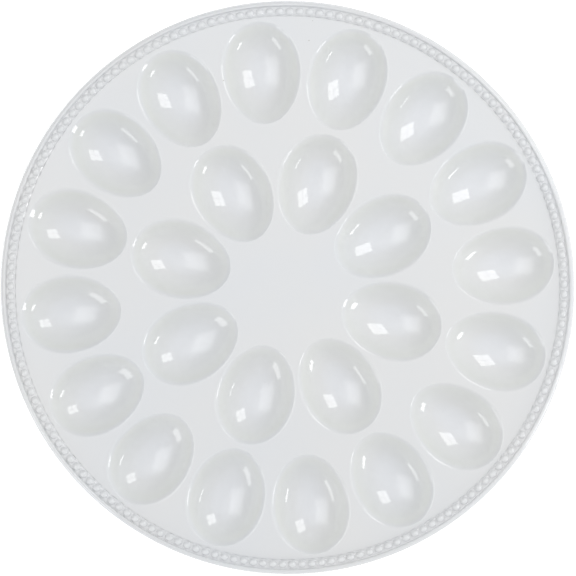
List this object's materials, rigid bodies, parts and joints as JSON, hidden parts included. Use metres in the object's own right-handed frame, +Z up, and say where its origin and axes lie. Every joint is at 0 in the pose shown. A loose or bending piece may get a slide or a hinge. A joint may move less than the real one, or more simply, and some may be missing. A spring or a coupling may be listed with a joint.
{
  "type": "deviled egg platter",
  "caption": "Round white glazed ceramic platter with two rows of egg-shaped wells, a beaded rim with a rolled lip, and a ring foot.",
  "frame": {"origin": "middle of the ring foot, on the plane it rests on", "axes": "+Z up out of the wells; +X through the middle of outer_well_01, +Y through the middle of outer_well_05"},
  "size_m": [0.32, 0.32, 0.021],
  "materials": {
    "white_glaze": "clear gloss over white, slightly cool, pooled a little in the corners",
    "bare_clay": "matt, fine grain, wiped clean of glaze"
  },
  "bodies": {
    "root": {"deck": "white_glaze", "bead_seat": "white_glaze", "bead_row": "white_glaze", "rolled_rim": "white_glaze", "foot_ring": "white_glaze", "bare_foot_edge": "bare_clay", "outer_well_01": "white_glaze", "outer_well_02": "white_glaze", "outer_well_03": "white_glaze", "outer_well_04": "white_glaze", "outer_well_05": "white_glaze", "outer_well_06": "white_glaze", "outer_well_07": "white_glaze", "outer_well_08": "white_glaze", "outer_well_09": "white_glaze", "outer_well_10": "white_glaze", "outer_well_11": "white_glaze", "outer_well_12": "white_glaze", "outer_well_13": "white_glaze", "outer_well_14": "white_glaze", "outer_well_15": "white_glaze", "outer_well_16": "white_glaze", "inner_well_01": "white_glaze", "inner_well_02": "white_glaze", "inner_well_03": "white_glaze", "inner_well_04": "white_glaze", "inner_well_05": "white_glaze", "inner_well_06": "white_glaze", "inner_well_07": "white_glaze", "inner_well_08": "white_glaze"}
  },
  "joints": []
}
